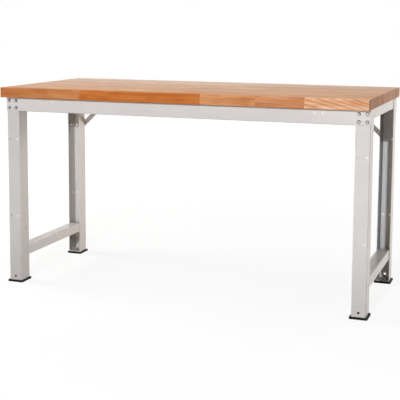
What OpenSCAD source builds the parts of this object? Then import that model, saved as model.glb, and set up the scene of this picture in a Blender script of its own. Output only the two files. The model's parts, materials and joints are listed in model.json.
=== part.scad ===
// Workshop bench: a glued beech worktop on a bolted frame of folded steel sections.
// Millimetres. The origin is on the floor under the middle of the worktop.
// +X is to the right, +Y to the back and +Z up.

/* [Worktop] */
// Width of the worktop, left to right
top_w = 1500; // [1300:10:2000]
// Depth of the worktop, front to back
top_d = 700; // [620:10:900]
// Thickness of the worktop
top_t = 40; // [36:1:60]
// Height of the working surface above the floor
bench_h = 815; // [780:5:950]
// Width of the bevel along each edge of the worktop
top_bevel = 2; // [0.5:0.25:4]

/* [Overhangs] */
// How far the worktop passes the frame at each side
over_side = 3; // [0:1:60]
// How far the worktop passes the front rail
over_front = 45; // [20:1:80]
// How far the worktop passes the rear rail
over_rear = 55; // [20:1:80]

/* [Folded sheet] */
// Thickness of the steel sheet
sheet_t = 2; // [1.5:0.25:3]
// Outside radius of every fold
fold_r = 3.5; // [3.25:0.25:5]

/* [Legs] */
// Width of a leg across its web
leg_w = 55; // [50:1:75]
// Depth of a leg along its flanges
leg_d = 65; // [50:1:90]
// Thickness of the plate that closes the foot of a leg
base_t = 3; // [2:0.5:5]
// Distance between the two holes of a pair
pair_gap = 31; // [26:0.5:34]
// Height of the upper pair of holes in a leg below the upper corner bolts
pair_drop = 159; // [120:1:200]
// Height between the upper and the lower pair in a leg
pair_pitch = 320; // [250:5:350]
// Diameter of the paired holes in legs and rails
pair_d = 7; // [6.5:0.25:8]
// Height of a hole in the outer flange above the pair beside it
flange_rise = 4; // [0:1:20]
// Diameter of the hole near the foot of a leg
floor_hole_d = 9.5; // [6:0.5:12]
// Height of that hole above the floor
floor_hole_z = 24; // [18:1:60]

/* [Rails] */
// Height of the front and rear rails
rail_h = 58; // [52:1:80]
// Width of a rail's upper flange, which carries the worktop
rail_top_d = 40; // [32:1:60]
// Width of a rail's lower flange
rail_low_d = 20; // [12:1:30]
// Free length between a leg and the end of a rail's flanges
rail_notch = 2; // [1:0.5:6]
// Distance from the middle of a leg to the middle of a rail's pair of holes
rail_pair_in = 165; // [120:1:220]

/* [Crossmembers] */
// Height of the upper crossmembers
upper_h = 38; // [30:1:60]
// Height of the lower crossmembers
lower_h = 38; // [25:1:60]
// Height of the top of the lower crossmembers above the floor
lower_z = 143; // [110:1:230]
// Length of a crossmember's end inside a leg
cross_lap = 15; // [8:1:20]
// Side to side distance between the shelf holes
shelf_gap = 25; // [16:1:32]
// Front to back distance between the shelf holes
shelf_pitch = 220; // [120:5:300]
// Diameter of the shelf holes
shelf_d = 6; // [4:0.5:8]
// Distance from an upper crossmember's rear end to its side hole
tag_in = 53; // [30:1:80]
// Diameter of that side hole
tag_d = 6; // [4:0.5:8]

/* [Braces] */
// Width of a brace
brace_w = 20; // [16:1:26]
// Thickness of a brace
brace_t = 3; // [2:0.5:5]

/* [Feet] */
// Thickness of a foot plate
foot_t = 8; // [5:0.5:15]
// How far a foot plate passes the leg on every side
foot_over = 7; // [3:0.5:10]
// Corner radius of a foot plate
foot_r = 6; // [4:0.5:9]
// Radius of a foot plate's upper edge
foot_edge = 2; // [1:0.25:3]
// Diameter of the stud that holds a foot plate in its leg
stud_d = 10; // [6:0.5:14]
// Height of the stud above the base plate
stud_rise = 6; // [3:0.5:10]

/* [Corner bolts] */
// Depth of the upper corner bolts below the worktop
bolt_drop = 16; // [14:0.5:20]
// Height between the two rows of corner bolts
bolt_pitch = 29; // [24:0.5:31]
// Thread diameter of the corner bolts
bolt_d = 8; // [6:0.5:9]
// Length of a corner bolt under its head
bolt_l = 16; // [15:1:25]

/* [Brace bolts] */
// Thread diameter of the brace bolts
brace_bolt_d = 6; // [4:0.5:6]
// Length of a brace bolt under its head
brace_bolt_l = 16; // [16:1:25]

/* [Worktop screws] */
// Shank diameter of the worktop screws
screw_d = 5; // [3:0.5:6]
// Length of a worktop screw under its head
screw_l = 30; // [20:1:34]
// Number of screws along each rail
rail_screws = 5; // [3:1:8]
// Distance from a rail's outer face to its screws
screw_in = 22; // [18:1:26]
// Distance from the end of a rail's flange to its last screw
screw_end = 60; // [30:5:90]
// Distance between the two screws in an upper crossmember
side_pitch = 300; // [150:10:340]

/* [Hidden] */
$fn = 48;

left = -1;
right = 1;
front = -1;
rear = 1;

beech = [0.80, 0.56, 0.38];
frame_grey = [0.80, 0.79, 0.78];
shaded_grey = [0.62, 0.60, 0.58];
black_plastic = [0.09, 0.09, 0.09];
zinc = [0.72, 0.73, 0.75];

// Clearance between a thread and the bore of its nut, and round a screw in its pilot hole
thread_clear = 0.05;
// Clearance on the diameter of a hole that a bolt, screw or stud passes
hole_clear = 0.6;
// Depth that a cut runs past the surface that it opens
cut = 1;

// Heights
under_z = bench_h - top_t;
bolt_top_z = under_z - bolt_drop;
bolt_low_z = bolt_top_z - bolt_pitch;
pair_top_z = bolt_top_z - pair_drop;
pair_low_z = pair_top_z - pair_pitch;

// Plan positions of the frame
frame_w = top_w - 2 * over_side;
rail_front_y = -top_d / 2 + over_front;
rail_rear_y = top_d / 2 - over_rear;
web_front_y = rail_front_y + sheet_t;
web_rear_y = rail_rear_y - sheet_t;
frame_mid_y = (web_front_y + web_rear_y) / 2;
leg_x = frame_w / 2 - leg_w / 2;
rail_flange_half = frame_w / 2 - leg_w - rail_notch;

// Crossmembers fit between the flanges of the legs
cross_w = leg_w - 2 * sheet_t;
cross_l = web_rear_y - web_front_y - 2 * leg_d + 2 * cross_lap;

// Worktop screws
screw_span = rail_flange_half - screw_end;
screw_step = 2 * screw_span / (rail_screws - 1);

// Fastener proportions
bolt_head_d = 1.75 * bolt_d;
bolt_head_h = 0.55 * bolt_d;
bolt_key = 0.625 * bolt_d;
nut_af = 1.625 * bolt_d;
nut_h = 0.8 * bolt_d;
washer_d = 2 * bolt_d;
washer_t = 0.2 * bolt_d;
brace_head_d = 1.75 * brace_bolt_d;
brace_head_h = 0.55 * brace_bolt_d;
brace_key = 0.625 * brace_bolt_d;
brace_nut_af = 1.67 * brace_bolt_d;
brace_nut_h = 0.85 * brace_bolt_d;
brace_washer_d = 2 * brace_bolt_d;
brace_washer_t = 0.25 * brace_bolt_d;
screw_head_d = 2 * screw_d;
screw_head_h = 0.6 * screw_d;
screw_tip = screw_d;
stud_chamfer = 1;

// Puts children at one leg. Locally the outer face of the leg's web is at y = 0,
// +Y runs into the bench and +X towards the near side of the bench.
module at_leg(side, end) {
    translate([side * leg_x, end < 0 ? web_front_y : web_rear_y, 0])
        mirror([side < 0 ? 1 : 0, 0, 0])
            mirror([0, end > 0 ? 1 : 0, 0])
                children();
}

// Rectangle w wide and d deep from y = 0, with round corners at y = 0
module folded_outline(w, d, r) {
    translate([-w / 2 + r, 0])
        square([w - 2 * r, d]);
    translate([-w / 2, r])
        square([w, d - r]);
    for (s = [-1, 1])
        translate([s * (w / 2 - r), r])
            circle(r);
}

// Section of a channel folded from sheet, with its web at y = 0
module channel_outline(w, d) {
    difference() {
        folded_outline(w, d, fold_r);
        translate([0, sheet_t])
            folded_outline(w - 2 * sheet_t, d, fold_r - sheet_t);
    }
}

// Rectangle with a bevel on each corner
module bevelled_outline(w, h, b) {
    x = w / 2;
    y = h / 2;
    polygon([
        [x - b, -y], [x, -y + b], [x, y - b], [x - b, y],
        [-x + b, y], [-x, y - b], [-x, -y + b], [-x + b, -y],
    ]);
}

// Hole through the front face of a web, at a height z
module web_hole(x, z, d, depth) {
    translate([x, -cut, z])
        rotate([-90, 0, 0])
            cylinder(d = d, h = depth + 2 * cut);
}

// Round-headed bolt with a hexagon key, its head above z = 0
module button_bolt(d, l, head_d, head_h, key) {
    cap_drop = (head_d * head_d / 4 - head_d * head_d / 16 - head_h * head_h) / (2 * head_h);
    cap_r = sqrt(head_d * head_d / 4 + cap_drop * cap_drop);
    difference() {
        union() {
            intersection() {
                translate([0, 0, -cap_drop])
                    sphere(cap_r);
                cylinder(d = head_d, h = head_h);
            }
            translate([0, 0, -l])
                cylinder(d = d, h = l + head_h / 4);
        }
        translate([0, 0, head_h * 0.4])
            cylinder(d = key / cos(30), h = head_h, $fn = 6);
    }
}

// Hexagon nut that stands on z = 0
module hex_nut(af, h, d) {
    difference() {
        cylinder(d = af / cos(30), h = h, $fn = 6);
        translate([0, 0, -cut])
            cylinder(d = d + 2 * thread_clear, h = h + 2 * cut);
    }
}

// Flat ring that stands on z = 0
module ring(outer_d, inner_d, h) {
    difference() {
        cylinder(d = outer_d, h = h);
        translate([0, 0, -cut])
            cylinder(d = inner_d, h = h + 2 * cut);
    }
}

// Wood screw that points up, its head hanging below z = 0
module wood_screw() {
    translate([0, 0, -screw_head_h])
        cylinder(d = screw_head_d, h = screw_head_h);
    cylinder(d = screw_d, h = screw_l - screw_tip);
    translate([0, 0, screw_l - screw_tip])
        cylinder(d1 = screw_d, d2 = screw_d / 5, h = screw_tip);
}

// Children at each screw of one rail
module along_rail(end) {
    y = end < 0 ? rail_front_y + screw_in : rail_rear_y - screw_in;
    for (i = [0 : rail_screws - 1])
        translate([-screw_span + i * screw_step, y, 0])
            children();
}

// Children at each screw of one upper crossmember
module along_side(side) {
    for (s = [-1, 1])
        translate([side * leg_x, frame_mid_y + s * side_pitch / 2, 0])
            children();
}

module worktop() {
    color(beech)
        difference() {
            intersection() {
                translate([0, 0, under_z])
                    linear_extrude(top_t)
                        bevelled_outline(top_w, top_d, top_bevel);
                translate([0, top_d / 2, under_z + top_t / 2])
                    rotate([90, 0, 0])
                        linear_extrude(top_d)
                            bevelled_outline(top_w, top_t, top_bevel);
                translate([-top_w / 2, 0, under_z + top_t / 2])
                    rotate([90, 0, 90])
                        linear_extrude(top_w)
                            bevelled_outline(top_d, top_t, top_bevel);
            }
            for (end = [front, rear])
                along_rail(end)
                    pilot_hole();
            for (side = [left, right])
                along_side(side)
                    pilot_hole();
        }
}

// Blind hole in the underside of the worktop for one screw
module pilot_hole() {
    depth = screw_l - sheet_t + thread_clear;
    translate([0, 0, under_z - cut])
        cylinder(d = screw_d + 2 * thread_clear, h = depth + cut);
}

// Rail with its web outside and its flanges cut back to clear the legs
module rail(end) {
    outer_y = end < 0 ? rail_front_y : rail_rear_y;
    end_l = frame_w / 2 - rail_flange_half;
    color(frame_grey)
        difference() {
            translate([0, outer_y, 0])
                mirror([0, end > 0 ? 1 : 0, 0])
                    difference() {
                        translate([-frame_w / 2, 0, under_z - rail_h / 2])
                            rotate([0, 90, 0])
                                linear_extrude(frame_w)
                                    rail_outline();
                        for (s = [-1, 1])
                            translate([s * (frame_w / 2 - end_l / 2), sheet_t + rail_top_d / 2, under_z - rail_h / 2])
                                cube([end_l + cut, rail_top_d, rail_h + 2 * cut], center = true);
                        for (s = [-1, 1])
                            rail_web_holes(s);
                    }
            along_rail(end)
                translate([0, 0, under_z - sheet_t - cut])
                    cylinder(d = screw_d + hole_clear, h = sheet_t + 2 * cut);
        }
}

// Section of a rail on its side: the upper flange is at -x and the lower one at +x
module rail_outline() {
    difference() {
        channel_outline(rail_h, rail_top_d);
        translate([0, rail_low_d])
            square([rail_h, rail_top_d]);
    }
}

// Bolt holes over a leg, and the free pair beside it
module rail_web_holes(s) {
    for (x = [-pair_gap / 2, pair_gap / 2]) {
        for (z = [bolt_top_z, bolt_low_z])
            web_hole(s * leg_x + x, z, bolt_d + hole_clear, sheet_t);
        web_hole(s * (leg_x - rail_pair_in) + x, bolt_top_z, pair_d, sheet_t);
    }
}

module leg(side, end) {
    color(frame_grey)
        at_leg(side, end)
            difference() {
                union() {
                    translate([0, 0, foot_t])
                        linear_extrude(under_z - foot_t)
                            channel_outline(leg_w, leg_d);
                    leg_base();
                }
                for (x = [-pair_gap / 2, pair_gap / 2]) {
                    for (z = [bolt_top_z, bolt_low_z])
                        web_hole(x, z, bolt_d + hole_clear, sheet_t);
                    for (z = [pair_top_z, pair_low_z])
                        web_hole(x, z, pair_d, sheet_t);
                }
                web_hole(0, floor_hole_z, floor_hole_d, sheet_t);
                for (z = [pair_top_z, pair_low_z])
                    translate([leg_w / 2 - sheet_t - cut, leg_d / 2, z + flange_rise])
                        rotate([0, 90, 0])
                            cylinder(d = pair_d, h = sheet_t + 2 * cut);
            }
}

// Plate across the foot of a leg, with a hole for the stud of its foot plate
module leg_base() {
    difference() {
        translate([-leg_w / 2 + sheet_t, sheet_t, foot_t])
            cube([leg_w - 2 * sheet_t, leg_d - sheet_t, base_t]);
        translate([0, leg_d / 2, foot_t - cut])
            cylinder(d = stud_d + hole_clear, h = base_t + 2 * cut);
    }
}

// Channel that opens downwards and runs back from y = 0, its top at z = 0
module cross_channel(h) {
    rotate([-90, 0, 0])
        linear_extrude(cross_l)
            channel_outline(cross_w, h);
}

module upper_crossmember(side) {
    start_y = web_front_y + leg_d - cross_lap;
    color(frame_grey)
        difference() {
            translate([side * leg_x, start_y, under_z])
                cross_channel(upper_h);
            along_side(side)
                translate([0, 0, under_z - sheet_t - cut])
                    cylinder(d = screw_d + hole_clear, h = sheet_t + 2 * cut);
            translate([side * (leg_x + cross_w / 2), start_y + cross_l - tag_in, under_z - upper_h * 0.7])
                rotate([0, 90, 0])
                    cylinder(d = tag_d, h = 2 * (sheet_t + cut), center = true);
        }
}

module lower_crossmember(side) {
    color(frame_grey)
        difference() {
            translate([side * leg_x, web_front_y + leg_d - cross_lap, lower_z])
                cross_channel(lower_h);
            for (x = [-shelf_gap / 2, shelf_gap / 2], y = [-shelf_pitch / 2, shelf_pitch / 2])
                translate([side * leg_x + x, frame_mid_y + y, lower_z - sheet_t - cut])
                    cylinder(d = shelf_d, h = sheet_t + 2 * cut);
        }
}

// Children at the two ends of a brace, locally at y = 0
module at_brace_ends() {
    translate([-pair_gap / 2, 0, pair_top_z])
        children(0);
    translate([-rail_pair_in - pair_gap / 2, 0, bolt_top_z])
        children(1);
}

// Flat bar behind the rear leg and the rear rail, from the leg's inner hole to the rail's
module brace(side) {
    brace_l = norm([rail_pair_in, pair_drop]);
    color(shaded_grey)
        at_leg(side, rear)
            translate([-pair_gap / 2, -sheet_t, pair_top_z])
                rotate([90, 0, 0])
                    linear_extrude(brace_t)
                        rotate([0, 0, atan2(pair_drop, -rail_pair_in)])
                            difference() {
                                union() {
                                    translate([0, -brace_w / 2])
                                        square([brace_l, brace_w]);
                                    for (x = [0, brace_l])
                                        translate([x, 0])
                                            circle(d = brace_w);
                                }
                                for (x = [0, brace_l])
                                    translate([x, 0])
                                        circle(d = brace_bolt_d + hole_clear);
                            }
}

// Ring that fills the step between the leg's web and the brace
module brace_spacer(side) {
    color(zinc)
        at_leg(side, rear)
            translate([-pair_gap / 2, 0, pair_top_z])
                rotate([90, 0, 0])
                    ring(brace_w, brace_bolt_d + hole_clear, sheet_t);
}

// Outline of one corner of a foot plate, spun into a round pad
module foot_corner() {
    steps = 4;
    rotate_extrude($fn = 32)
        polygon(concat(
            [[0, 0], [foot_r - foot_edge / 4, 0], [foot_r, foot_edge / 4]],
            [for (i = [0 : steps])
                let (a = 90 * i / steps)
                [foot_r - foot_edge + foot_edge * cos(a), foot_t - foot_edge + foot_edge * sin(a)]],
            [[0, foot_t]]
        ));
}

module foot(side, end) {
    x = leg_w / 2 + foot_over - foot_r;
    y = leg_d / 2 + foot_over - foot_r;
    color(black_plastic)
        at_leg(side, end)
            translate([0, leg_d / 2, 0]) {
                hull()
                    for (sx = [-1, 1], sy = [-1, 1])
                        translate([sx * x, sy * y, 0])
                            foot_corner();
                translate([0, 0, foot_t / 2])
                    cylinder(d = stud_d, h = foot_t / 2 + base_t + stud_rise - stud_chamfer);
                translate([0, 0, foot_t + base_t + stud_rise - stud_chamfer])
                    cylinder(d1 = stud_d, d2 = stud_d - 2 * stud_chamfer, h = stud_chamfer);
            }
}

// Children at each of the four bolts of one corner, at a depth y behind the outer face of the leg's web
module at_corner_bolts(side, end, y) {
    at_leg(side, end)
        for (x = [-pair_gap / 2, pair_gap / 2], z = [bolt_top_z, bolt_low_z])
            translate([x, y, z])
                children();
}

module corner_bolts(side, end) {
    color(zinc)
        at_corner_bolts(side, end, -sheet_t)
            rotate([90, 0, 0])
                button_bolt(bolt_d, bolt_l, bolt_head_d, bolt_head_h, bolt_key);
}

module corner_washers(side, end) {
    color(zinc)
        at_corner_bolts(side, end, sheet_t)
            rotate([-90, 0, 0])
                ring(washer_d, bolt_d + hole_clear, washer_t);
}

module corner_nuts(side, end) {
    color(zinc)
        at_corner_bolts(side, end, sheet_t + washer_t)
            rotate([-90, 0, 0])
                hex_nut(nut_af, nut_h, bolt_d);
}

module brace_bolts(side) {
    color(zinc)
        at_leg(side, rear)
            translate([0, -sheet_t - brace_t, 0])
                at_brace_ends() {
                    rotate([90, 0, 0])
                        button_bolt(brace_bolt_d, brace_bolt_l, brace_head_d, brace_head_h, brace_key);
                    rotate([90, 0, 0])
                        button_bolt(brace_bolt_d, brace_bolt_l, brace_head_d, brace_head_h, brace_key);
                }
}

module brace_washers(side) {
    color(zinc)
        at_leg(side, rear)
            at_brace_ends() {
                translate([0, sheet_t, 0])
                    rotate([-90, 0, 0])
                        ring(brace_washer_d, brace_bolt_d + hole_clear, brace_washer_t);
                rotate([-90, 0, 0])
                    ring(brace_washer_d, brace_bolt_d + hole_clear, brace_washer_t);
            }
}

module brace_nuts(side) {
    color(zinc)
        at_leg(side, rear)
            translate([0, brace_washer_t, 0])
                at_brace_ends() {
                    translate([0, sheet_t, 0])
                        rotate([-90, 0, 0])
                            hex_nut(brace_nut_af, brace_nut_h, brace_bolt_d);
                    rotate([-90, 0, 0])
                        hex_nut(brace_nut_af, brace_nut_h, brace_bolt_d);
                }
}

module rail_screws(end) {
    color(zinc)
        along_rail(end)
            translate([0, 0, under_z - sheet_t])
                wood_screw();
}

module side_screws(side) {
    color(zinc)
        along_side(side)
            translate([0, 0, under_z - sheet_t])
                wood_screw();
}

worktop();
rail(front);  // front_rail
rail(rear);  // rear_rail
leg(left, front);  // leg_front_left
leg(right, front);  // leg_front_right
leg(left, rear);  // leg_rear_left
leg(right, rear);  // leg_rear_right
upper_crossmember(left);  // upper_crossmember_left
upper_crossmember(right);  // upper_crossmember_right
lower_crossmember(left);  // lower_crossmember_left
lower_crossmember(right);  // lower_crossmember_right
brace(left);  // brace_left
brace(right);  // brace_right
brace_spacer(left);  // brace_spacer_left
brace_spacer(right);  // brace_spacer_right
foot(left, front);  // foot_front_left
foot(right, front);  // foot_front_right
foot(left, rear);  // foot_rear_left
foot(right, rear);  // foot_rear_right
corner_bolts(left, front);  // bolts_front_left
corner_bolts(right, front);  // bolts_front_right
corner_bolts(left, rear);  // bolts_rear_left
corner_bolts(right, rear);  // bolts_rear_right
corner_washers(left, front);  // washers_front_left
corner_washers(right, front);  // washers_front_right
corner_washers(left, rear);  // washers_rear_left
corner_washers(right, rear);  // washers_rear_right
corner_nuts(left, front);  // nuts_front_left
corner_nuts(right, front);  // nuts_front_right
corner_nuts(left, rear);  // nuts_rear_left
corner_nuts(right, rear);  // nuts_rear_right
brace_bolts(left);  // brace_bolts_left
brace_bolts(right);  // brace_bolts_right
brace_washers(left);  // brace_washers_left
brace_washers(right);  // brace_washers_right
brace_nuts(left);  // brace_nuts_left
brace_nuts(right);  // brace_nuts_right
rail_screws(front);  // worktop_screws_front
rail_screws(rear);  // worktop_screws_rear
side_screws(left);  // worktop_screws_left
side_screws(right);  // worktop_screws_right
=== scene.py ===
"""Looks of the workbench: beech worktop, powder coated frame, black feet and zinc fasteners."""
import json
import math

import bmesh
import bpy
from mathutils import Matrix, Vector

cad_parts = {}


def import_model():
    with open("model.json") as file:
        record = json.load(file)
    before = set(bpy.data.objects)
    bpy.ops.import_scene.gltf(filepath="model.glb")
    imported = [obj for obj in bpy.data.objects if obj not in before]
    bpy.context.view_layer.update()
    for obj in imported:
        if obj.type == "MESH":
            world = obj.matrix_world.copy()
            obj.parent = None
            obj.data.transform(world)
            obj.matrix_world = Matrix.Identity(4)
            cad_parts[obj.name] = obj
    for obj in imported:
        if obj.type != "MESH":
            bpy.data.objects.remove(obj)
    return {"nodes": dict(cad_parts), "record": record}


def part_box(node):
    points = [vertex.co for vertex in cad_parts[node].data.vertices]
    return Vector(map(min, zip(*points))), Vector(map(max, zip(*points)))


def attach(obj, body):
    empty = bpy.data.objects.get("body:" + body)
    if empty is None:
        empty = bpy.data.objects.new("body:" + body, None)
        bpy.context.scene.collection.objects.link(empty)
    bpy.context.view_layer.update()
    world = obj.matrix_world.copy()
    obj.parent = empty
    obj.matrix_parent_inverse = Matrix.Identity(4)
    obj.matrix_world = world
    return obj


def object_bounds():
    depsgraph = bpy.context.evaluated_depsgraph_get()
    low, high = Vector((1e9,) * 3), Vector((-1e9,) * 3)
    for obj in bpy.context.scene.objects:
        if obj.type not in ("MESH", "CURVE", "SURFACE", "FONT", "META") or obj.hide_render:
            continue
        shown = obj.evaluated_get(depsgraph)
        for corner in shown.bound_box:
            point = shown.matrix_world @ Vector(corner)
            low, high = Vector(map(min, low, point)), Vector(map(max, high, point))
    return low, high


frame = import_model()
CAD_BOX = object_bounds()


def linear(red, green, blue):
    """Linear colour of an 8 bit screen colour."""
    def one(value):
        value /= 255.0
        return value / 12.92 if value <= 0.04045 else ((value + 0.055) / 1.055) ** 2.4
    return one(red), one(green), one(blue)


# Lengths are in metres, angles in degrees and powers in watts. A noise is given as its scale per metre and
# its detail, a span as the values between which something sets in, and a range as its start and what is
# added to it at most.

# Camera, fitted to the photograph, with its lens in millimetres
CAMERA_PLACE = Vector((1.351, -3.7585, 1.096))
CAMERA_YAW = 19.96
CAMERA_PITCH = 6.90
CAMERA_ROLL = 0.34
CAMERA_LENS = 87.25
CAMERA_SHIFT_Y = -0.16

# Key lamp, which casts the shadows, and glint lamp, which only shows in glossy surfaces. The glint lamp
# stands lower than the worktop, so that it leaves no white patch on it.
KEY_PLACE = Vector((0.42, -6.2, 1.98))
KEY_RADIUS = 0.05
KEY_POWER = 1080.0
GLINT_PLACE = Vector((0.9, -6.0, 0.40))
GLINT_RADIUS = 0.30
GLINT_POWER = 290.0
ROUND_LAMP_COLOUR = (0.89, 0.94, 1.0)

# Broad lamps, all turned to one point under the worktop: name, place, size, power and colour
LAMP_TARGET = Vector((0.0, 0.0, 0.45))
SOFT_LAMPS = (
    ("top", Vector((0.0, -0.5, 4.0)), 2.5, 60.0, (1.0, 1.0, 1.0)),
    ("left", Vector((-4.5, 0.0, 1.8)), 2.0, 230.0, (1.0, 0.94, 0.87)),
    ("right", Vector((3.4, 1.4, 0.7)), 1.0, 30.0, (1.0, 0.90, 0.84)),
    ("back", Vector((5.0, 7.0, 1.2)), 3.0, 700.0, (1.0, 0.91, 0.84)),
    ("front", Vector((0.8, -6.0, 0.5)), 1.0, 90.0, (1.0, 0.83, 0.70)),
)

# Floor: its size, how far it lies below the feet, its own tone, the glow that the eye sees near the bench
# and far from it, and the distances from the bench's middle between which the glow changes
FLOOR_SIZE = 60.0
FLOOR_DROP = 0.0005
FLOOR_TONE = 0.12
FLOOR_GLOW_NEAR = 0.87
FLOOR_GLOW_FAR = 1.0
FLOOR_FADE_SPAN = (1.0, 3.5)

# Powder coat: clouds between two tones, darker specks, and orange peel
COAT_CLOUDS = (5.0, 3.0)
COAT_TONES = ((0.30, linear(207, 204, 202)), (0.70, linear(213, 211, 208)))
COAT_SPECKS = (900.0, 2.0)
COAT_SPECK_TONE = linear(178, 175, 173)
COAT_SPECK_SHARE = 0.08
COAT_PEEL = (420.0, 1.5)
COAT_PEEL_DEPTH = 0.00006
COAT_ROUGHNESS = (0.25, 0.08)
COAT_SPECULAR = 0.45

# Leg whose coat is darker than the other legs', and how bright its coat is beside theirs
DARKER_NODE = "leg_front_left"
DARKER_SHADE = 0.90

# Painted shade on the coat near the floor: how high it reaches, how uneven its upper edge is, and its tint
PAINTED_SHADE_HEIGHT = 0.30
PAINTED_SHADE_EDGE = (16.0, 4.0)
PAINTED_SHADE_DRIFT = 0.16
PAINTED_SHADE_TINT = (0.84, 0.83, 0.83)

# Zinc plate: mottled where it faces the front or the back, and darker where it turns away from them,
# which is a painted reflection of dark surroundings
ZINC_MOTTLE = (350.0, 3.0)
ZINC_BRIGHT = linear(194, 193, 191)
ZINC_TONES = ((0.30, linear(178, 177, 175)), (0.70, ZINC_BRIGHT))
ZINC_PAINTED_DARK_REFLECTION = linear(94, 93, 91)
ZINC_PAINTED_REFLECTION_SPAN = (0.50, 0.88)
ZINC_RELIEF = 0.00002
ZINC_ROUGHNESS = (0.40, 0.16)

# Moulded black plastic: dust between two tones, and a fine grain
PLASTIC_DUST = (60.0, 4.0)
PLASTIC_TONES = ((0.35, linear(17, 17, 18)), (0.80, linear(30, 30, 30)))
PLASTIC_GRAIN_SCALE = 900.0
PLASTIC_GRAIN_DEPTH = 0.00008
PLASTIC_ROUGHNESS = (0.50, 0.20)
PLASTIC_SPECULAR = 0.12

# The studs on the foot plates are zinc from a little above the plates, which end where the legs start
STUD_GAP = 0.0005
STUD_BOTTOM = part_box("leg_front_left")[0][2] + STUD_GAP

# Black plug behind the hole near each front foot, which paints the shade inside the leg seen through that
# hole: its height above the floor, and its half section as (radius, depth behind the leg's face) from the
# bottom of its recess, round its rim, to its domed back.
# Points closer than the weld are joined, and edges steeper than the angle look sharp.
SHADE_PLUG_HEIGHT = 0.024
SHADE_PLUG_SECTION = (
    (0.0, 0.0031),
    (0.0040, 0.0030),
    (0.0044, 0.0004),
    (0.0046, 0.0003),
    (0.0046, 0.0021),
    (0.0065, 0.0021),
    (0.0067, 0.0024),
    (0.0065, 0.0030),
    (0.0050, 0.0035),
    (0.0028, 0.0041),
    (0.0, 0.0043),
)
SHADE_PLUG_SIDES = 48
SHADE_PLUG_WELD = 0.000001
SHADE_PLUG_SHARP_ANGLE = 35.0

# Staves of the worktop, in rows from front to back: their length, how many lengths a row is shifted at
# most, the seed of their random looks, and their tones
STAVE_ROWS = 18
STAVE_LENGTH = 0.62
STAVE_SHIFT = 7.0
STAVE_SEED = 3.7
STAVE_TONES = (
    (0.00, linear(186, 138, 92)),
    (0.25, linear(211, 167, 121)),
    (0.50, linear(218, 182, 136)),
    (0.75, linear(207, 159, 115)),
    (1.00, linear(194, 144, 106)),
)
# Front row: places along X where its staves meet, and the staves' tones
FRONT_JOINTS = (-0.393, 0.111, 0.3275, 0.513)
FRONT_TONES = (
    linear(200, 138, 88),
    linear(195, 118, 55),
    linear(211, 155, 109),
    linear(206, 148, 105),
    linear(236, 197, 165),
)

# Pith of the tree that a stave was cut from: its way from the stave's middle, across and upwards, and how
# much both change per metre along the bench, as ranges. The front row's last stave is cut aslant and has
# its own.
PITH_ACROSS = (-0.08, 0.16)
PITH_UPWARDS = (-0.015, -0.10)
LEAN_ACROSS = (-0.03, 0.06)
LEAN_UPWARDS = (-0.05, 0.10)
LAST_PITH = (0.09, 0.112)
LAST_LEAN = (0.03, 0.30)

# Growth rings: their width, how many rings they wander, the scale along each axis and the detail of that
# wandering, and the spans of a ring in which the dark late wood rises and falls, with its tint. The front
# row's last stave has its own width, wander and tint.
RING_WIDTH = 0.0048
RING_WANDER = 1.2
LAST_RING_WIDTH = 0.0088
LAST_RING_WANDER = 0.5
RING_NOISE = ((3.0, 14.0, 14.0), 1.0)
LATE_RISE = (0.30, 0.88)
LATE_FALL = (0.90, 1.0)
LATE_TINT = (0.90, 0.82, 0.74)
LAST_LATE_TINT = (0.79, 0.62, 0.48)

# Marks in the wood: scale of their noise along each axis, its detail, the span that shows, and their tint
WOOD_MARKS = {
    "streak": ((6.0, 150.0, 150.0), 6.0, (0.42, 0.68), (0.88, 0.78, 0.68)),
    "band": ((3.0, 40.0, 40.0), 3.0, (0.40, 0.65), (0.88, 0.80, 0.72)),
    "cloud": ((11.0, 34.0, 34.0), 2.0, (0.45, 0.65), (0.88, 0.76, 0.66)),
    "fleck": ((260.0, 1500.0, 1500.0), 2.0, (0.60, 0.70), (0.74, 0.64, 0.56)),
}

# End grain: how squarely a face looks along the bench, tones of the early and the late wood, pores, and the
# tint of the darkest stave ends
END_FACING_SPAN = (0.55, 0.75)
END_EARLY_TONE = linear(190, 156, 130)
END_LATE_TONE = linear(152, 110, 88)
PORES = (1800.0, 2.0)
PORE_SPAN = (0.5, 0.7)
PORE_TONE = linear(110, 74, 54)
PORE_SHARE = 0.35
END_TINT = (0.72, 0.66, 0.62)

# Glue between the rows: how far from the joint the dark line fades out, its tone, and its strength, which
# grows on the ends
GLUE_REACH = 0.0004
GLUE_TONE = linear(104, 58, 36)
GLUE_STRENGTH = (0.50, 0.35)

# The worktop's finish is dull where hands rub it, along the front, and glossier towards the back. Here are
# its roughness in the middle, what a metre to the right and to the back adds, what streaks add, and the
# roughness of the ends.
TOP_ROUGHNESS = 0.34
RIGHT_ROUGHNESS = 0.06
BACK_ROUGHNESS = -0.30
STREAK_ROUGHNESS = 0.10
END_ROUGHNESS = 0.65
WOOD_SPECULAR = 0.25

# Relief of the wood: its depth, and the parts that late wood, streaks and glue lines have in it
WOOD_RELIEF = 0.00010
LATE_RELIEF = 0.4
STREAK_RELIEF = 0.6
GLUE_RELIEF = 0.5


def new_material(name):
    """An empty node material with its tree."""
    material = bpy.data.materials.new(name)
    material.use_nodes = True
    tree = material.node_tree
    tree.nodes.clear()
    return material, tree


def add(tree, kind, inputs=None, **settings):
    """Adds a node, sets its properties and links or fills its inputs."""
    node = tree.nodes.new(kind)
    for key, value in settings.items():
        setattr(node, key, value)
    for key, value in (inputs or {}).items():
        if isinstance(value, bpy.types.NodeSocket):
            tree.links.new(value, node.inputs[key])
        else:
            node.inputs[key].default_value = value
    return node


def maths(tree, operation, a, b=0.0, c=0.0):
    """Output of a maths node."""
    return add(tree, "ShaderNodeMath", {0: a, 1: b, 2: c}, operation=operation).outputs[0]


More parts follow.
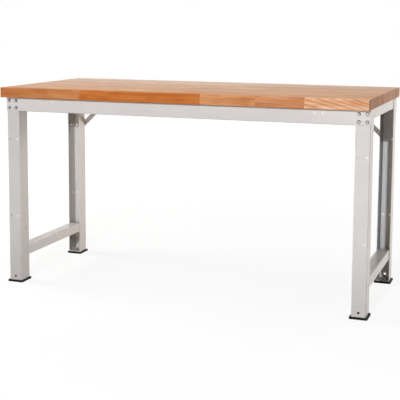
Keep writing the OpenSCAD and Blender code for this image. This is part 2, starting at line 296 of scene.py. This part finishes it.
def ranged(tree, value, start, added):
    """The start of a range where value is 0, and its end where value is 1."""
    return maths(tree, "MULTIPLY_ADD", value, added, start)


def between(tree, factor, a, b):
    """a where factor is 0, and b where it is 1."""
    return maths(tree, "MULTIPLY_ADD", factor, maths(tree, "SUBTRACT", b, a), a)


def smooth(tree, value, low, high):
    """0 below low and 1 above high, with a soft step between them."""
    inputs = {"Value": value, "From Min": low, "From Max": high}
    return add(tree, "ShaderNodeMapRange", inputs, interpolation_type="SMOOTHSTEP").outputs["Result"]


def ramp(tree, factor, stops, interpolation="LINEAR"):
    """Colour output of a colour ramp with the given (place, colour) stops."""
    node = add(tree, "ShaderNodeValToRGB", {"Fac": factor})
    node.color_ramp.interpolation = interpolation
    elements = node.color_ramp.elements
    while len(elements) < len(stops):
        elements.new(1.0)
    for element, (place, colour) in zip(elements, stops):
        element.position = place
        element.color = (*colour, 1.0)
    return node.outputs["Color"]


def mix(tree, factor, a, b, blend="MIX"):
    """Colour output of a colour mix."""
    node = add(tree, "ShaderNodeMix", {"Factor": factor}, data_type="RGBA", blend_type=blend)
    for socket, value in ((node.inputs[6], a), (node.inputs[7], b)):
        if isinstance(value, bpy.types.NodeSocket):
            tree.links.new(value, socket)
        else:
            socket.default_value = (*value, 1.0)
    return node.outputs[2]


def tinted(tree, factor, colour, tint):
    """Colour that is multiplied by a tint where factor is 1."""
    return mix(tree, factor, colour, tint, "MULTIPLY")


def axes(tree, vector):
    """The three coordinates of a vector."""
    return tuple(add(tree, "ShaderNodeSeparateXYZ", {"Vector": vector}).outputs)


def place_coordinates(tree):
    """Position on the object, which is the position in the bench's frame."""
    return add(tree, "ShaderNodeTexCoord").outputs["Object"]


def facing(tree, axis):
    """1 where the surface is square to an axis, either way round, and 0 where it runs along it."""
    normal = add(tree, "ShaderNodeTexCoord").outputs["Normal"]
    split = add(tree, "ShaderNodeSeparateXYZ", {"Vector": normal})
    return maths(tree, "ABSOLUTE", split.outputs[axis])


def noise(tree, vector, scale, detail):
    """Value of a noise texture."""
    inputs = {"Vector": vector, "Scale": scale, "Detail": detail}
    return add(tree, "ShaderNodeTexNoise", inputs).outputs["Fac"]


def stretched_noise(tree, vector, stretch, detail):
    """Value of a noise texture with its own scale along each axis."""
    scaled = add(tree, "ShaderNodeVectorMath", {0: vector, 1: stretch}, operation="MULTIPLY")
    return noise(tree, scaled.outputs["Vector"], 1.0, detail)


def finish_surface(tree, colour, roughness, relief, depth, specular=0.5, metallic=0.0):
    """Principled surface with a bump of the given depth, joined to the output."""
    shader = add(tree, "ShaderNodeBsdfPrincipled", {
        "Base Color": colour,
        "Roughness": roughness,
        "Specular IOR Level": specular,
        "Metallic": metallic,
    })
    bump = add(tree, "ShaderNodeBump", {"Height": relief, "Distance": depth, "Strength": 1.0})
    tree.links.new(bump.outputs["Normal"], shader.inputs["Normal"])
    output = add(tree, "ShaderNodeOutputMaterial")
    tree.links.new(shader.outputs["BSDF"], output.inputs["Surface"])


def painted_shade_near_floor(tree, place):
    """1 at the floor and 0 above the height that the painted shade reaches, with an uneven upper edge."""
    drift = maths(tree, "SUBTRACT", noise(tree, place, *PAINTED_SHADE_EDGE), 0.5)
    height = maths(tree, "MULTIPLY_ADD", drift, PAINTED_SHADE_DRIFT, axes(tree, place)[2])
    return maths(tree, "SUBTRACT", 1.0, smooth(tree, height, 0.0, PAINTED_SHADE_HEIGHT))


def powder_coat(name, shade):
    """Light grey powder coat: fine orange peel, faint clouding, and painted shade near the floor."""
    material, tree = new_material(name)
    place = place_coordinates(tree)
    clouds = noise(tree, place, *COAT_CLOUDS)
    specks = maths(tree, "MULTIPLY", noise(tree, place, *COAT_SPECKS), COAT_SPECK_SHARE)
    peel = noise(tree, place, *COAT_PEEL)
    colour = mix(tree, specks, ramp(tree, clouds, COAT_TONES), COAT_SPECK_TONE)
    colour = tinted(tree, 1.0, colour, (shade, shade, shade))
    # Painted shade: the coat is darker towards the floor
    colour = tinted(tree, painted_shade_near_floor(tree, place), colour, PAINTED_SHADE_TINT)
    roughness = ranged(tree, clouds, *COAT_ROUGHNESS)
    finish_surface(tree, colour, roughness, peel, COAT_PEEL_DEPTH, COAT_SPECULAR)
    return material


def black_plastic(name, zinc_from):
    """Moulded black plastic with a fine grain and pale dust in it, and bare zinc above a height."""
    material, tree = new_material(name)
    place = place_coordinates(tree)
    dust = noise(tree, place, *PLASTIC_DUST)
    inputs = {"Vector": place, "Scale": PLASTIC_GRAIN_SCALE}
    grain = add(tree, "ShaderNodeTexVoronoi", inputs).outputs["Distance"]
    is_zinc = maths(tree, "GREATER_THAN", axes(tree, place)[2], zinc_from)
    colour = mix(tree, is_zinc, ramp(tree, dust, PLASTIC_TONES), ZINC_BRIGHT)
    roughness = ranged(tree, dust, *PLASTIC_ROUGHNESS)
    finish_surface(tree, colour, roughness, grain, PLASTIC_GRAIN_DEPTH, PLASTIC_SPECULAR, is_zinc)
    return material


def zinc():
    """Mottled zinc plate, with painted reflection that darkens it where it doesn't face the front or the
    back.
    """
    material, tree = new_material("zinc")
    mottle = noise(tree, place_coordinates(tree), *ZINC_MOTTLE)
    # Painted reflection: faces turned away from the front and the back are darker, as if they mirrored dark
    # surroundings
    painted_reflection = smooth(tree, facing(tree, "Y"), *ZINC_PAINTED_REFLECTION_SPAN)
    colour = mix(tree, painted_reflection, ZINC_PAINTED_DARK_REFLECTION, ramp(tree, mottle, ZINC_TONES))
    roughness = ranged(tree, mottle, *ZINC_ROUGHNESS)
    finish_surface(tree, colour, roughness, mottle, ZINC_RELIEF, metallic=1.0)
    return material


def front_number(tree, x):
    """Number of the front row's stave at x, counted from 0 at the left."""
    count = 0.0
    for joint in FRONT_JOINTS:
        count = maths(tree, "ADD", maths(tree, "GREATER_THAN", x, joint), count)
    return count


def stave_numbers(tree, x, across):
    """Row of a stave, its number in the row, and whether it is in front, from x and the rows across."""
    row = maths(tree, "MAXIMUM", maths(tree, "FLOOR", across), 0.0)
    row = maths(tree, "MINIMUM", row, STAVE_ROWS - 1.0)
    chance = add(tree, "ShaderNodeTexWhiteNoise", {"W": row}, noise_dimensions="1D").outputs["Value"]
    shift = maths(tree, "MULTIPLY", chance, STAVE_SHIFT)
    number = maths(tree, "FLOOR", maths(tree, "MULTIPLY_ADD", x, 1.0 / STAVE_LENGTH, shift))
    in_front = maths(tree, "LESS_THAN", row, 0.5)
    return row, between(tree, in_front, number, front_number(tree, x)), in_front


def stave_tone(tree, chance, number, in_front):
    """Tone of a stave: its own in the front row, and a random one behind it."""
    count = len(FRONT_TONES)
    stops = [(max(0.0, (i - 0.5) / count), tone) for i, tone in enumerate(FRONT_TONES)]
    front_tone = ramp(tree, maths(tree, "DIVIDE", number, float(count)), stops, "CONSTANT")
    return mix(tree, in_front, ramp(tree, chance, STAVE_TONES), front_tone)


def pith_distance(tree, x, side, height, chances, last):
    """Distance from a stave's pith, at x and the given way sideways and upwards from the stave's middle."""
    def chosen(chance, limits, own):
        """A random value, or its own value in the last stave of the front row."""
        return between(tree, last, ranged(tree, chance, *limits), own)

    def from_pith(way, pith, lean):
        """Way from the pith in one direction."""
        return maths(tree, "MULTIPLY_ADD", x, lean, maths(tree, "SUBTRACT", way, pith))

    pith_across = chosen(chances[1], PITH_ACROSS, LAST_PITH[0])
    pith_upwards = chosen(chances[2], PITH_UPWARDS, LAST_PITH[1])
    lean_across = chosen(chances[2], LEAN_ACROSS, LAST_LEAN[0])
    lean_upwards = chosen(chances[0], LEAN_UPWARDS, LAST_LEAN[1])
    side = from_pith(side, pith_across, lean_across)
    height = from_pith(height, pith_upwards, lean_upwards)
    square = maths(tree, "MULTIPLY_ADD", side, side, maths(tree, "MULTIPLY", height, height))
    return maths(tree, "SQRT", square)


def late_wood(tree, radius, wander, last):
    """Soft rise and sharp fall of the dark wood across each growth ring."""
    rings_per_metre = between(tree, last, 1.0 / RING_WIDTH, 1.0 / LAST_RING_WIDTH)
    swing = between(tree, last, RING_WANDER, LAST_RING_WANDER)
    rings = maths(tree, "MULTIPLY_ADD", wander, swing, maths(tree, "MULTIPLY", radius, rings_per_metre))
    part = maths(tree, "FRACT", rings)
    fall = maths(tree, "SUBTRACT", 1.0, smooth(tree, part, *LATE_FALL))
    return maths(tree, "MULTIPLY", smooth(tree, part, *LATE_RISE), fall)


def wood_marks(tree, place, colour):
    """Colour with all the marks of the wood, and how strong the streaks are."""
    values = {}
    for name, (stretch, detail, span, tint) in WOOD_MARKS.items():
        values[name] = stretched_noise(tree, place, stretch, detail)
        colour = tinted(tree, smooth(tree, values[name], *span), colour, tint)
    return colour, values["streak"]


def end_grain(tree, place, late, shade):
    """Colour of the ends of the staves: duller than their sides, with pores and the growth rings' arcs."""
    pores = smooth(tree, noise(tree, place, *PORES), *PORE_SPAN)
    colour = mix(tree, late, END_EARLY_TONE, END_LATE_TONE)
    colour = mix(tree, maths(tree, "MULTIPLY", pores, PORE_SHARE), colour, PORE_TONE)
    return tinted(tree, shade, colour, END_TINT)


def glue_lines(tree, across, stave_width):
    """1 on the nearest joint between two rows and 0 away from it."""
    nearest = maths(tree, "MAXIMUM", maths(tree, "ROUND", across), 1.0)
    nearest = maths(tree, "MINIMUM", nearest, STAVE_ROWS - 1.0)
    rows = maths(tree, "ABSOLUTE", maths(tree, "SUBTRACT", across, nearest))
    distance = maths(tree, "MULTIPLY", rows, stave_width)
    return maths(tree, "SUBTRACT", 1.0, smooth(tree, distance, GLUE_REACH / 2, GLUE_REACH))


def wood_roughness(tree, x, y, streak, on_end):
    """Dull along the front, glossier towards the back and rough on the ends."""
    value = maths(tree, "MULTIPLY_ADD", y, BACK_ROUGHNESS, TOP_ROUGHNESS)
    value = maths(tree, "MULTIPLY_ADD", x, RIGHT_ROUGHNESS, value)
    value = maths(tree, "MULTIPLY_ADD", streak, STREAK_ROUGHNESS, value)
    return between(tree, on_end, value, END_ROUGHNESS)


def beech():
    """Glued beech staves that run along the bench, with end grain on the two ends."""
    low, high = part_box("worktop")
    stave_width = (high[1] - low[1]) / STAVE_ROWS
    mid_z = (low[2] + high[2]) / 2
    material, tree = new_material("beech")
    place = place_coordinates(tree)
    x, y, z = axes(tree, place)

    across = maths(tree, "DIVIDE", maths(tree, "SUBTRACT", y, low[1]), stave_width)
    row, number, in_front = stave_numbers(tree, x, across)
    last = maths(tree, "GREATER_THAN", number, len(FRONT_TONES) - 1.5)
    last = maths(tree, "MULTIPLY", in_front, last)
    key = add(tree, "ShaderNodeCombineXYZ", {"X": row, "Y": number, "Z": STAVE_SEED}).outputs["Vector"]
    chance = add(tree, "ShaderNodeTexWhiteNoise", {"Vector": key}, noise_dimensions="3D").outputs["Color"]
    chances = axes(tree, chance)
    moved = add(tree, "ShaderNodeVectorMath", {0: place, 1: chance}, operation="ADD").outputs["Vector"]

    side = maths(tree, "SUBTRACT", y, ranged(tree, maths(tree, "ADD", row, 0.5), low[1], stave_width))
    height = maths(tree, "SUBTRACT", z, mid_z)
    radius = pith_distance(tree, x, side, height, chances, last)
    late = late_wood(tree, radius, stretched_noise(tree, moved, *RING_NOISE), last)
    colour = stave_tone(tree, chances[0], number, in_front)
    colour = tinted(tree, late, colour, mix(tree, last, LATE_TINT, LAST_LATE_TINT))
    colour, streak = wood_marks(tree, moved, colour)

    on_end = smooth(tree, facing(tree, "X"), *END_FACING_SPAN)
    colour = mix(tree, on_end, colour, end_grain(tree, place, late, chances[1]))
    glue = glue_lines(tree, across, stave_width)
    strength = maths(tree, "MULTIPLY", glue, ranged(tree, on_end, *GLUE_STRENGTH))
    colour = mix(tree, strength, colour, GLUE_TONE)

    roughness = wood_roughness(tree, x, y, streak, on_end)
    relief = maths(tree, "MULTIPLY_ADD", late, LATE_RELIEF, maths(tree, "MULTIPLY", streak, STREAK_RELIEF))
    relief = maths(tree, "SUBTRACT", relief, maths(tree, "MULTIPLY", glue, GLUE_RELIEF))
    finish_surface(tree, colour, roughness, relief, WOOD_RELIEF, WOOD_SPECULAR)
    return material


def dress(slots, exceptions):
    """Puts each slot's material on every CAD node that the record gives it to, apart from exceptions."""
    for part in frame["record"]["subparts"]:
        node = part["node"]
        mesh = frame["nodes"][node].data
        mesh.materials.clear()
        mesh.materials.append(exceptions.get(node, slots[part["material_slot"]]))


def shade_plug(side, material):
    """Black plastic plug, pushed in from behind, in the hole near a front foot: painted shade seen through
    it.
    """
    low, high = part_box("leg_front_" + side)
    shape = bmesh.new()
    chain = [shape.verts.new((radius, depth, 0.0)) for radius, depth in SHADE_PLUG_SECTION]
    edges = [shape.edges.new(pair) for pair in zip(chain, chain[1:])]
    turn = {"cent": (0.0, 0.0, 0.0), "axis": (0.0, 1.0, 0.0), "angle": 2 * math.pi, "steps": SHADE_PLUG_SIDES}
    bmesh.ops.spin(shape, geom=chain + edges, **turn)
    bmesh.ops.remove_doubles(shape, verts=shape.verts, dist=SHADE_PLUG_WELD)
    bmesh.ops.recalc_face_normals(shape, faces=shape.faces)
    bmesh.ops.translate(shape, verts=shape.verts, vec=((low[0] + high[0]) / 2, low[1], SHADE_PLUG_HEIGHT))
    mesh = bpy.data.meshes.new("shade_plug_front_" + side)
    shape.to_mesh(mesh)
    shape.free()
    mesh.shade_smooth()
    mesh.set_sharp_from_angle(angle=math.radians(SHADE_PLUG_SHARP_ANGLE))
    mesh.materials.append(material)
    piece = bpy.data.objects.new("shade_plug_front_" + side, mesh)
    bpy.context.collection.objects.link(piece)
    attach(piece, "root")


def seen_by_eye(tree):
    """1 for camera, glossy and transmission rays, otherwise 0."""
    path = add(tree, "ShaderNodeLightPath")
    seen = maths(tree, "ADD", path.outputs["Is Camera Ray"], path.outputs["Is Glossy Ray"])
    return maths(tree, "ADD", seen, path.outputs["Is Transmission Ray"])


def floor():
    """Pale floor that looks white to the camera and still holds the bench's shadow."""
    bpy.ops.mesh.primitive_plane_add(size=FLOOR_SIZE, location=(0.0, 0.0, -FLOOR_DROP))
    plane = bpy.context.object
    plane.name = "floor"
    material, tree = new_material("floor_paint")
    diffuse = add(tree, "ShaderNodeBsdfDiffuse", {"Color": (FLOOR_TONE, FLOOR_TONE, FLOOR_TONE, 1.0)})
    away = add(tree, "ShaderNodeVectorMath", {0: place_coordinates(tree)}, operation="LENGTH")
    farness = smooth(tree, away.outputs["Value"], *FLOOR_FADE_SPAN)
    level = between(tree, farness, FLOOR_GLOW_NEAR, FLOOR_GLOW_FAR)
    glow = add(tree, "ShaderNodeEmission", {"Strength": maths(tree, "MULTIPLY", seen_by_eye(tree), level)})
    both = add(tree, "ShaderNodeAddShader", {0: diffuse.outputs["BSDF"], 1: glow.outputs["Emission"]})
    output = add(tree, "ShaderNodeOutputMaterial")
    tree.links.new(both.outputs["Shader"], output.inputs["Surface"])
    plane.data.materials.append(material)


def world():
    """Surroundings that are seen as plain white and leave the lighting to the lamps."""
    sky = bpy.data.worlds.new("studio")
    sky.use_nodes = True
    tree = sky.node_tree
    tree.nodes.clear()
    white = {"Color": (1.0, 1.0, 1.0, 1.0), "Strength": seen_by_eye(tree)}
    background = add(tree, "ShaderNodeBackground", white)
    output = add(tree, "ShaderNodeOutputWorld")
    tree.links.new(background.outputs["Background"], output.inputs["Surface"])
    bpy.context.scene.world = sky


def soft_lamp(name, place, size, power, colour):
    """Square lamp turned to the bench, which leaves no bright patch on glossy surfaces."""
    data = bpy.data.lights.new(name, "AREA")
    data.energy = power
    data.color = colour
    data.shape = "SQUARE"
    data.size = size
    lamp = bpy.data.objects.new(name, data)
    lamp.location = place
    lamp.rotation_euler = (LAMP_TARGET - place).to_track_quat("-Z", "Y").to_euler()
    lamp.visible_glossy = False
    lamp.visible_camera = False
    bpy.context.collection.objects.link(lamp)


def round_lamp(name, place, radius, power, glossy):
    """Round lamp that either shows in glossy surfaces or lights dull ones, but not both."""
    data = bpy.data.lights.new(name, "POINT")
    data.energy = power
    data.color = ROUND_LAMP_COLOUR
    data.shadow_soft_size = radius
    lamp = bpy.data.objects.new(name, data)
    lamp.location = place
    lamp.visible_glossy = glossy
    lamp.visible_diffuse = not glossy
    bpy.context.collection.objects.link(lamp)


def lamps():
    """Two round lamps in front of the bench, and broad ones all round it."""
    round_lamp("key", KEY_PLACE, KEY_RADIUS, KEY_POWER, False)
    round_lamp("glint", GLINT_PLACE, GLINT_RADIUS, GLINT_POWER, True)
    for lamp in SOFT_LAMPS:
        soft_lamp(*lamp)


def camera():
    """Camera at the photograph's viewing angle."""
    yaw, pitch, roll = (math.radians(angle) for angle in (CAMERA_YAW, CAMERA_PITCH, CAMERA_ROLL))
    forward = Vector((-math.sin(yaw) * math.cos(pitch), math.cos(yaw) * math.cos(pitch), -math.sin(pitch)))
    right = Vector((math.cos(yaw), math.sin(yaw), 0.0))
    up = right.cross(forward)
    rolled_right = right * math.cos(roll) + up * math.sin(roll)
    rolled_up = up * math.cos(roll) - right * math.sin(roll)
    turn = Matrix((rolled_right, rolled_up, -forward)).transposed()
    data = bpy.data.cameras.new("camera")
    data.lens = CAMERA_LENS
    data.shift_y = CAMERA_SHIFT_Y
    viewer = bpy.data.objects.new("camera", data)
    viewer.matrix_world = Matrix.Translation(CAMERA_PLACE) @ turn.to_4x4()
    bpy.context.collection.objects.link(viewer)
    bpy.context.scene.camera = viewer


camera()
world()
lamps()
floor()
dress(
    {
        "worktop": beech(),
        "frame": powder_coat("powder_coat", 1.0),
        "feet": black_plastic("black_plastic", STUD_BOTTOM),
        "fasteners": zinc(),
    },
    {DARKER_NODE: powder_coat("powder_coat_darker", DARKER_SHADE)},
)
# The plugs, painted shade in the front legs' holes, are plastic all through, so their zinc would only
# start above the whole bench
shade_plug_plastic = black_plastic("shade_plug_plastic", CAD_BOX[1][2])
for side in ("left", "right"):
    shade_plug(side, shade_plug_plastic)
bpy.context.scene.view_settings.view_transform = "Standard"
